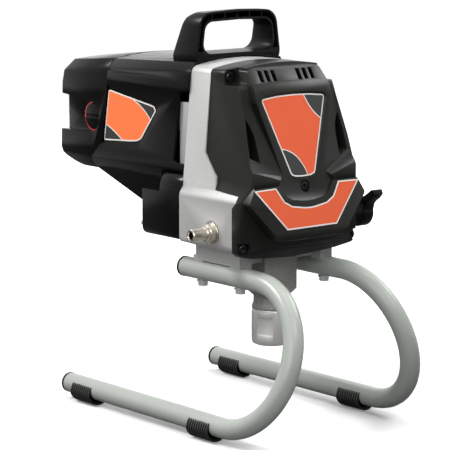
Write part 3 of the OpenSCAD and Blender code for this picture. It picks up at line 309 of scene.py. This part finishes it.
def plate(name, outline_mm, depth_mm, place):
    """A filled outline, depth_mm thick about its plane and moved by a matrix."""
    curve = bpy.data.curves.new(name, "CURVE")
    curve.dimensions = "2D"
    curve.fill_mode = "BOTH"
    spline = curve.splines.new("POLY")
    spline.points.add(len(outline_mm) - 1)
    for point, (x, y) in zip(spline.points, outline_mm):
        point.co = (x * MM, y * MM, 0, 1)
    spline.use_cyclic_u = True
    curve.extrude = depth_mm * MM / 2
    select_only(placed(name, curve))
    bpy.ops.object.convert(target="MESH")
    piece = bpy.context.object
    piece.data.transform(place)
    close_up(piece)
    return piece


def take_place(piece, node):
    """The piece takes the place of a CAD node, with its finish and body."""
    select_only(piece)
    bpy.ops.object.shade_smooth_by_angle(angle=math.radians(SMOOTH_DEG))
    give_finish(piece, MATERIAL_OF[node])
    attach(piece, BODY_OF[node])
    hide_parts(node)


# ---------------------------------------------------------------- moulded and cast edges

FLAT_DEG = 0.6
EDGE_SEGMENTS = 2
EDGE_CORNER_DEG = 28
EDGES_MM = {
    "frame_casting": 0.9, "front_cover": 1.1, "motor_cover": 0.9, "rear_cap": 1.0,
    "control_box": 0.9, "carry_handle": 0.9, "fluid_housing": 1.2, "suction_fitting": 0.5,
    "left_leg": 0, "right_leg": 0, "leg_bolts": 0.4, "prime_lever": 0.9, "prime_valve": 0.4,
    "brush_caps": 0.4, "brush_cap_rings": 0.3, "pressure_knob": 0.5, "cord_gland": 0.4,
    "toggle_switch": 0.3, "switch_lever": 0, "front_cover_screws": 0.35,
    "cover_screws_rear": 0.3, "return_spigot": 0.3,
}

BASE_UNDERSIDE_MM = 181.5
UNDERSIDE_DROP_MM = 2.3
LEVEL_WITHIN_MM = 0.1
BASE_NOTCH_MM = ((-49.0, 49.0), (-101.0, -86.0), (170.0, 196.0))


def open_base(piece):
    """Lowers the casting's base close over the tubes and opens its front between the saddles."""
    for vertex in piece.data.vertices:
        if abs(vertex.co.z - BASE_UNDERSIDE_MM * MM) < LEVEL_WITHIN_MM * MM:
            vertex.co.z -= UNDERSIDE_DROP_MM * MM
    bpy.ops.mesh.primitive_cube_add(size=1.0)
    cutter = bpy.context.object
    for vertex in cutter.data.vertices:
        vertex.co = [(low + high) / 2 * MM + side * (high - low) * MM
                     for side, (low, high) in zip(vertex.co, BASE_NOTCH_MM)]
    notch = piece.modifiers.new("notch", "BOOLEAN")
    notch.operation = "DIFFERENCE"
    notch.object = cutter
    notch.solver = "EXACT"
    apply_modifiers(piece)
    bpy.data.objects.remove(cutter, do_unlink=True)


def soften(node, edge_mm):
    """A merged copy of a CAD node, with its edges rounded as a mould or a casting leaves them."""
    piece = placed(node + "_finished", frame["nodes"][node].data.copy())
    select_only(piece)
    bpy.ops.object.mode_set(mode="EDIT")
    bpy.ops.mesh.select_all(action="SELECT")
    bpy.ops.mesh.remove_doubles(threshold=CAD_WELD)
    if edge_mm:
        bpy.ops.mesh.dissolve_limited(angle_limit=math.radians(FLAT_DEG))
    bpy.ops.object.mode_set(mode="OBJECT")
    if node == "frame_casting":
        open_base(piece)
    if edge_mm:
        round_edges(piece, edge_mm, EDGE_SEGMENTS, EDGE_CORNER_DEG)
    take_place(piece, node)


for name, edge in EDGES_MM.items():
    soften(name, edge)

# ---------------------------------------------------------------- feet

TUBE_MM = 11.05
FOOT_CENTRES_MM = [(x, y, 17.0) for x in (-108.0, 108.0) for y in (-95.0, 114.0)]
FOOT_BOTTOM_MM = -17.0
RIBS = 10
RIB_PITCH_MM = 3.4
RIB_MM = 1.6
RIB_HEIGHT_MM = 2.4
TOOTH_END_MM = 0.9
SLEEVE = {"outer_mm": 13.2, "bottom_mm": FOOT_BOTTOM_MM + RIB_HEIGHT_MM, "wrap_deg": 96,
          "thin_from_deg": 70}
RIB = {"outer_mm": 15.6, "bottom_mm": FOOT_BOTTOM_MM, "wrap_deg": 119, "thin_from_deg": 74}
SLEEVE_EDGE_MM = 0.3
RIB_EDGE_MM = 0.55
FOOT_SEGMENTS = 3
FOOT_CORNER_DEG = 35


def sleeve_section(outer_mm, bottom_mm, wrap_deg, thin_from_deg, steps=48):
    """The outline of a C-shaped sleeve round the tube, thick below and thin at its upper ends."""
    outer = []
    for i in range(steps + 1):
        turn = wrap_deg * (2 * i / steps - 1)
        a = math.radians(turn)
        x, z = outer_mm * math.sin(a), bottom_mm + outer_mm - outer_mm * math.cos(a)
        thinned = max(0.0, (abs(turn) - thin_from_deg) / (wrap_deg - thin_from_deg))
        reach = math.hypot(x, z)
        scale = (reach * (1 - thinned) + (TUBE_MM + TOOTH_END_MM) * thinned) / reach
        outer.append((x * scale, z * scale))
    inner = [(TUBE_MM * x / math.hypot(x, z), TUBE_MM * z / math.hypot(x, z))
             for x, z in reversed(outer)]
    return outer + inner


def across_tube(name, section, from_mm, length_mm, edge_mm):
    """A section drawn across the tube and pulled along it, with rounded edges."""
    along_y = Matrix.Rotation(math.radians(90), 4, "X")
    middle = Matrix.Translation((0, (from_mm + length_mm / 2) * MM, 0))
    piece = plate(name, section, length_mm, middle @ along_y)
    round_edges(piece, edge_mm, FOOT_SEGMENTS, FOOT_CORNER_DEG)
    return piece


def add_feet():
    """Four sleeves clipped over the lower tubes; their ribs end as teeth beside the opening."""
    length = RIBS * RIB_PITCH_MM
    sleeve = across_tube("ribbed_feet", sleeve_section(**SLEEVE), -length / 2, length,
                         SLEEVE_EDGE_MM)
    ribs = across_tube("rib", sleeve_section(**RIB), -length / 2, RIB_MM, RIB_EDGE_MM)
    row = ribs.modifiers.new("row", "ARRAY")
    row.count = RIBS
    row.use_relative_offset = False
    row.use_constant_offset = True
    row.constant_offset_displace = (0, (length - RIB_MM) / (RIBS - 1) * MM, 0)
    apply_modifiers(ribs)
    foot = joined([sleeve, ribs])
    copies = []
    for centre in FOOT_CENTRES_MM:
        copy = placed("foot", foot.data.copy())
        copy.data.transform(Matrix.Translation(Vector(centre) * MM))
        copies.append(copy)
    bpy.data.objects.remove(foot, do_unlink=True)
    feet = joined(copies)
    feet.name = "ribbed_feet"
    take_place(feet, "rubber_feet")


add_feet()

# ---------------------------------------------------------------- turned pieces

TURNING_STEPS = 64
END_PLUGS_MM = ((108.0, 151.0, 17.0), (59.963, 0.0, 167.521))
PLUG_PROFILE_MM = [(0, 2.4), (10.7, 2.4), (11.25, 1.9), (11.25, -1.2), (11.02, -1.2)]
OUTLET_AT_MM = (-83.0, -74.0, 216.0)
OUTLET_PROFILE_MM = [(0, 10), (3.9, 10), (3.9, 28.4), (5.0, 30), (6.2, 30), (6.8, 29.3),
                     (6.8, 11.6), (8.1, 11.3), (8.4, 8), (8.4, 1.9), (11.4, 1.9), (11.6, 1.7),
                     (11.6, 0.1)]
OUTLET_BORE_MM = [(0, 12), (3.8, 12), (3.8, 28.6)]
HEXAGON_MM = {"radius": 10.6, "start": 2.0, "end": 8.0, "chamfer": 0.5}
HEXAGON_SEGMENTS = 2
HEXAGON_CORNER_DEG = 30


def turned(name, profile_mm):
    """A piece turned about its z axis from a profile of radii and heights."""
    points = [(radius * MM, 0, height * MM) for radius, height in profile_mm]
    mesh = bpy.data.meshes.new(name)
    mesh.from_pydata(points, [(i, i + 1) for i in range(len(points) - 1)], [])
    piece = placed(name, mesh)
    screw = piece.modifiers.new("turning", "SCREW")
    screw.steps = screw.render_steps = TURNING_STEPS
    screw.use_merge_vertices = True
    screw.merge_threshold = CAD_WELD
    apply_modifiers(piece)
    return piece


def add_end_plugs():
    """The rim of each plug shows as a black line round the tube's end."""
    plugs = []
    for x, y, z in END_PLUGS_MM:
        for side in (-1, 1):
            plug = turned("tube_plugs", PLUG_PROFILE_MM)
            plug.data.transform(Matrix.Translation(Vector((side * x, y, z)) * MM)
                                @ Matrix.Rotation(math.radians(-90), 4, "X"))
            plugs.append(plug)
    plug = joined(plugs)
    close_up(plug)
    take_place(plug, "tube_end_caps")


def add_outlet():
    """The hose connector: a flange, a hexagon, a collar and a barrel with an open bore."""
    outward = (Matrix.Translation(Vector(OUTLET_AT_MM) * MM)
               @ Matrix.Rotation(math.radians(-90), 4, "Y"))
    start, end = HEXAGON_MM["start"], HEXAGON_MM["end"]
    barrel = turned("hose_connector", OUTLET_PROFILE_MM)
    bpy.ops.mesh.primitive_cylinder_add(vertices=6, radius=HEXAGON_MM["radius"] * MM,
                                        depth=(end - start) * MM)
    hexagon = bpy.context.object
    hexagon.data.transform(Matrix.Translation((0, 0, (start + end) / 2 * MM))
                           @ Matrix.Rotation(math.radians(90), 4, "Z"))
    round_edges(hexagon, HEXAGON_MM["chamfer"], HEXAGON_SEGMENTS, HEXAGON_CORNER_DEG)
    connector = joined([barrel, hexagon])
    connector.data.transform(outward)
    close_up(connector)
    take_place(connector, "outlet_fitting")
    # Painted shade: a near-black lining inside the bore, where only shadow falls
    bore = turned("hose_connector_bore_shade", OUTLET_BORE_MM)
    bore.data.transform(outward)
    bore.data.flip_normals()
    give_finish(bore, BORE_SHADE_PAINT)
    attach(bore, BODY)


add_end_plugs()
add_outlet()

# ---------------------------------------------------------------- labels

BORDER_MM = 1.5
PRINT_STEP_MM = 0.02
SHEET_MM = 0.6
LONGEST_ARC = 0.45
LEAST_LEAN = 0.4


def label_plane(origin_mm, right, up):
    """The matrix of a label's plane, whose x runs to the right and y up on its face."""
    right, up = Vector(right).normalized(), Vector(up).normalized()
    turn = Matrix((right, up, right.cross(up))).transposed().to_4x4()
    return Matrix.Translation(Vector(origin_mm) * MM) @ turn


def tilted_back(degrees):
    """The up direction of a face that leans to the rear by that angle."""
    return (0, math.sin(math.radians(degrees)), math.cos(math.radians(degrees)))


def rounded(points, radius, steps=6):
    """The outline with each corner replaced by a short arc."""
    result = []
    for i, corner in enumerate(points):
        corner = Vector(corner)
        before = Vector(points[i - 1]) - corner
        after = Vector(points[(i + 1) % len(points)]) - corner
        reach = min(radius, before.length * LONGEST_ARC, after.length * LONGEST_ARC)
        start = corner + before.normalized() * reach
        end = corner + after.normalized() * reach
        for step in range(steps):
            t = step / (steps - 1)
            result.append(start * (1 - t) ** 2 + corner * 2 * t * (1 - t) + end * t ** 2)
    return result


def smoothed(points, steps=5):
    """A Catmull-Rom curve through the points, for an open line."""
    points = [Vector(p) for p in points]
    padded = [points[0] * 2 - points[1]] + points + [points[-1] * 2 - points[-2]]
    result = []
    for a, b, c, d in zip(padded, padded[1:], padded[2:], padded[3:]):
        for step in range(steps):
            t = step / steps
            result.append(0.5 * (2 * b + (c - a) * t + (2 * a - 5 * b + 4 * c - d) * t ** 2
                                 + (3 * b - a - 3 * c + d) * t ** 3))
    return result + [points[-1]]


def turns_left(points):
    """1 for an outline that runs anticlockwise, -1 for one that runs clockwise."""
    area = sum(a[0] * b[1] - b[0] * a[1] for a, b in zip(points, points[1:] + points[:1]))
    return 1 if area > 0 else -1


def inset(outline, distance):
    """The outline moved inwards by a distance."""
    points = [Vector(p) for p in outline]
    turn = turns_left(outline)
    moved = []
    for i, here in enumerate(points):
        a = (here - points[i - 1]).normalized()
        b = (points[(i + 1) % len(points)] - here).normalized()
        inward = (Vector((-a.y, a.x)) + Vector((-b.y, b.x))).normalized() * turn
        lean = abs(inward.dot(Vector((-a.y, a.x))))
        moved.append(here + inward * distance / max(LEAST_LEAN, lean))
    return moved


def clip(shape, window):
    """The part of a shape that lies inside a convex window."""
    turn = turns_left(window)
    result = [Vector(p) for p in shape]
    for a, b in zip(window, window[1:] + window[:1]):
        edge = b - a

        def side(point):
            return turn * (edge.x * (point.y - a.y) - edge.y * (point.x - a.x))

        kept = []
        for here, following in zip(result, result[1:] + result[:1]):
            now, then = side(here), side(following)
            if now >= 0:
                kept.append(here)
            if (now >= 0) != (then >= 0):
                kept.append(here.lerp(following, now / (now - then)))
        result = kept
    return result


def print_layer(name, outline, plane, level, material, depth_mm=PRINT_STEP_MM, node=None):
    """One colour of a label: a thin flat sheet, level steps above the label's face."""
    below = Matrix.Translation((0, 0, (level * PRINT_STEP_MM - depth_mm / 2) * MM))
    piece = plate(name, outline, depth_mm, plane @ below)
    give_finish(piece, material)
    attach(piece, BODY)
    if node:
        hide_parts(node)


def add_label(node, outline, plane, field, corners=()):
    """A white sheet, a colour field inside its border, and black corners behind white lines."""
    print_layer(node + "_sheet", outline, plane, 0, VINYL_WHITE, depth_mm=SHEET_MM, node=node)
    inner = inset(outline, BORDER_MM)
    print_layer(node + "_field", inner, plane, 1, field)
    for number, (curve, line_shift) in enumerate(corners, start=1):
        white = clip([Vector(p) + Vector(line_shift) for p in curve], inner)
        print_layer(f"{node}_line_{number}", white, plane, 2, VINYL_WHITE)
        print_layer(f"{node}_corner_{number}", clip(curve, inner), plane, 3, VINYL_BLACK)


FRONT_OUTLINE = rounded([(-44.9, 85), (-24, 87.2), (0, 88), (24, 87.2), (44.9, 85), (16.8, 2.5),
                         (11, 0.3), (0, -0.3), (-11, 0.3), (-16.8, 2.5)], 4.5)
FRONT_TOP_CORNER = smoothed([(13, 92), (15.8, 86), (18.4, 80.9), (21.9, 74.5), (27.6, 67),
                             (35.4, 60.2), (46, 53)]) + [(60, 60), (60, 100), (13, 100)]
FRONT_LOW_CORNER = smoothed([(-36, 31.5), (-25.5, 30.3), (-16.7, 27.8), (-7.3, 22.1),
                             (0.3, 12.7), (4.6, 4.2), (6, -4)]) + [(0, -10), (-40, -10)]
add_label("front_badge", FRONT_OUTLINE,
          label_plane((0, -125.8, 275), (1, 0, 0), tilted_back(12.1)), VINYL_ORANGE,
          [(FRONT_TOP_CORNER, (-0.9, -0.7)), (FRONT_LOW_CORNER, (0.7, 0.9))])

LOWER_HALF = [(0, -25), (8, -24.5), (24.4, -21.9), (34.5, -16.3), (44.2, -1.2), (74, -1.8),
              (35, -46.6), (0, -46.6)]
LOWER_OUTLINE = LOWER_HALF + [(-x, y) for x, y in reversed(LOWER_HALF[1:-1])]
add_label("lower_badge", LOWER_OUTLINE,
          label_plane((0, -131.8, 268), (1, 0, 0), tilted_back(10.95)), VINYL_ORANGE)

SIDE_OUTLINE = rounded([(-125.8, 29.9), (-43, 17.7), (-39, 13), (-65.3, -21), (-72, -23.6),
                        (-84.3, -25), (-132.9, -27.9)], 3)
SIDE_TOP_CORNER = smoothed([(-90, 27), (-76.8, 21), (-66.5, 16.4), (-56.8, 10.1), (-49.4, 3.8),
                            (-42, -4)]) + [(-20, 0), (-20, 40), (-90, 40)]
SIDE_LOW_CORNER = smoothed([(-142, -7), (-130.2, -10.1), (-120.3, -14.1), (-110.3, -19.1),
                            (-101.1, -24.1), (-94, -30)]) + [(-142, -40)]
add_label("side_badge", SIDE_OUTLINE,
          label_plane((-70, 0, 322.5), (0, -1, 0), (0.0314, 0, 1)), VINYL_SIDE,
          [(SIDE_TOP_CORNER, (-0.7, -0.9)), (SIDE_LOW_CORNER, (0.7, 0.9))])

# ---------------------------------------------------------------- light, floor and world

LAMP_AIM = (0, 0, 0.25)
# Place, width and height in metres, and power in watts
LAMPS = {
    "key": ((-1.1, 0.9, 1.7), (0.5, 0.5), 34),
    "left": ((-1.9, -1.0, 1.15), (1.5, 1.3), 23),
    "overhead": ((0.1, -0.2, 2.0), (0.9, 0.9), 8),
    "front": ((-0.1, -1.5, 1.6), (0.9, 0.7), 15),
    "rear": ((1.3, 1.1, 1.4), (1.2, 0.7), 5),
    "horizon": ((1.5, 1.9, 0.55), (2.4, 0.5), 0.7),
    "right": ((1.25, -0.35, 1.35), (0.8, 0.7), 15),
}
WHITE = linear("#ffffff")
ROOM_HEIGHTS = (0.0, 0.8)
ROOM_STRENGTHS = (0.15, 0.4)
FLOOR_SIZE = 5.0
FADE_RADII = (0.25, 1.6)
FADE_STRENGTHS = (0.06, 1.0)


def add_softbox(name, place, size, watts):
    """A rectangular area lamp that the camera doesn't see."""
    data = bpy.data.lights.new(name, "AREA")
    data.shape = "RECTANGLE"
    data.size, data.size_y = size
    data.energy = watts
    lamp = placed(name, data)
    point_at(lamp, place, LAMP_AIM)
    lamp.visible_camera = False


def ramp(tree, value, from_range, to_range):
    """A value carried from one range to another and held at its ends."""
    mapped = add(tree, "ShaderNodeMapRange", {
        "Value": value, "From Min": from_range[0], "From Max": from_range[1],
        "To Min": to_range[0], "To Max": to_range[1]})
    return mapped.outputs["Result"]


def add_world():
    """A room brighter overhead than at the sides; camera, mirror and glass rays see it white."""
    world = bpy.data.worlds.new("studio")
    bpy.context.scene.world = world
    tree = empty_tree(world)
    rays = add(tree, "ShaderNodeLightPath").outputs
    way = add(tree, "ShaderNodeSeparateXYZ",
              {"Vector": add(tree, "ShaderNodeTexCoord").outputs["Generated"]})
    level = ramp(tree, way.outputs["Z"], ROOM_HEIGHTS, ROOM_STRENGTHS)
    room = add(tree, "ShaderNodeBackground", {"Color": WHITE, "Strength": level})
    seen = add(tree, "ShaderNodeBackground", {"Color": WHITE, "Strength": 1.0})
    bounced = add(tree, "ShaderNodeMath",
                  {0: rays["Is Glossy Ray"], 1: rays["Is Transmission Ray"]}, operation="MAXIMUM")
    looking = add(tree, "ShaderNodeMath",
                  {0: rays["Is Camera Ray"], 1: bounced.outputs[0]}, operation="MAXIMUM")
    both = add(tree, "ShaderNodeMixShader",
               {0: looking.outputs[0], 1: room.outputs[0], 2: seen.outputs[0]})
    add(tree, "ShaderNodeOutputWorld", {"Surface": both.outputs[0]})


def add_floor():
    """Paper that keeps the soft shadow and glows more with the distance, up to the world's white.

    Only the camera sees the paper; all other rays meet a darker, dull floor.
    """
    bpy.ops.mesh.primitive_plane_add(size=FLOOR_SIZE, location=(0, 0, 0))
    floor = bpy.context.object
    floor.name = "floor"
    material = bpy.data.materials.new("white_paper_sweep")
    tree = empty_tree(material)
    rays = add(tree, "ShaderNodeLightPath")
    place = add(tree, "ShaderNodeTexCoord").outputs["Object"]
    distance = add(tree, "ShaderNodeVectorMath", {0: place}, operation="LENGTH")
    fade = ramp(tree, distance.outputs["Value"], FADE_RADII, FADE_STRENGTHS)
    paper = add(tree, "ShaderNodeBsdfDiffuse", {"Color": linear("#ededed")})
    glow = add(tree, "ShaderNodeEmission", {"Color": WHITE, "Strength": fade})
    lit = add(tree, "ShaderNodeAddShader", {0: paper.outputs[0], 1: glow.outputs[0]})
    dim = add(tree, "ShaderNodeBsdfDiffuse", {"Color": linear("#6c6c6c")})
    both = add(tree, "ShaderNodeMixShader",
               {0: rays.outputs["Is Camera Ray"], 1: dim.outputs[0], 2: lit.outputs[0]})
    add(tree, "ShaderNodeOutputMaterial", {"Surface": both.outputs[0]})
    give_finish(floor, material)


for name, (place, size, watts) in LAMPS.items():
    add_softbox(name, place, size, watts)
add_world()
add_floor()
bpy.context.scene.view_settings.view_transform = "Standard"
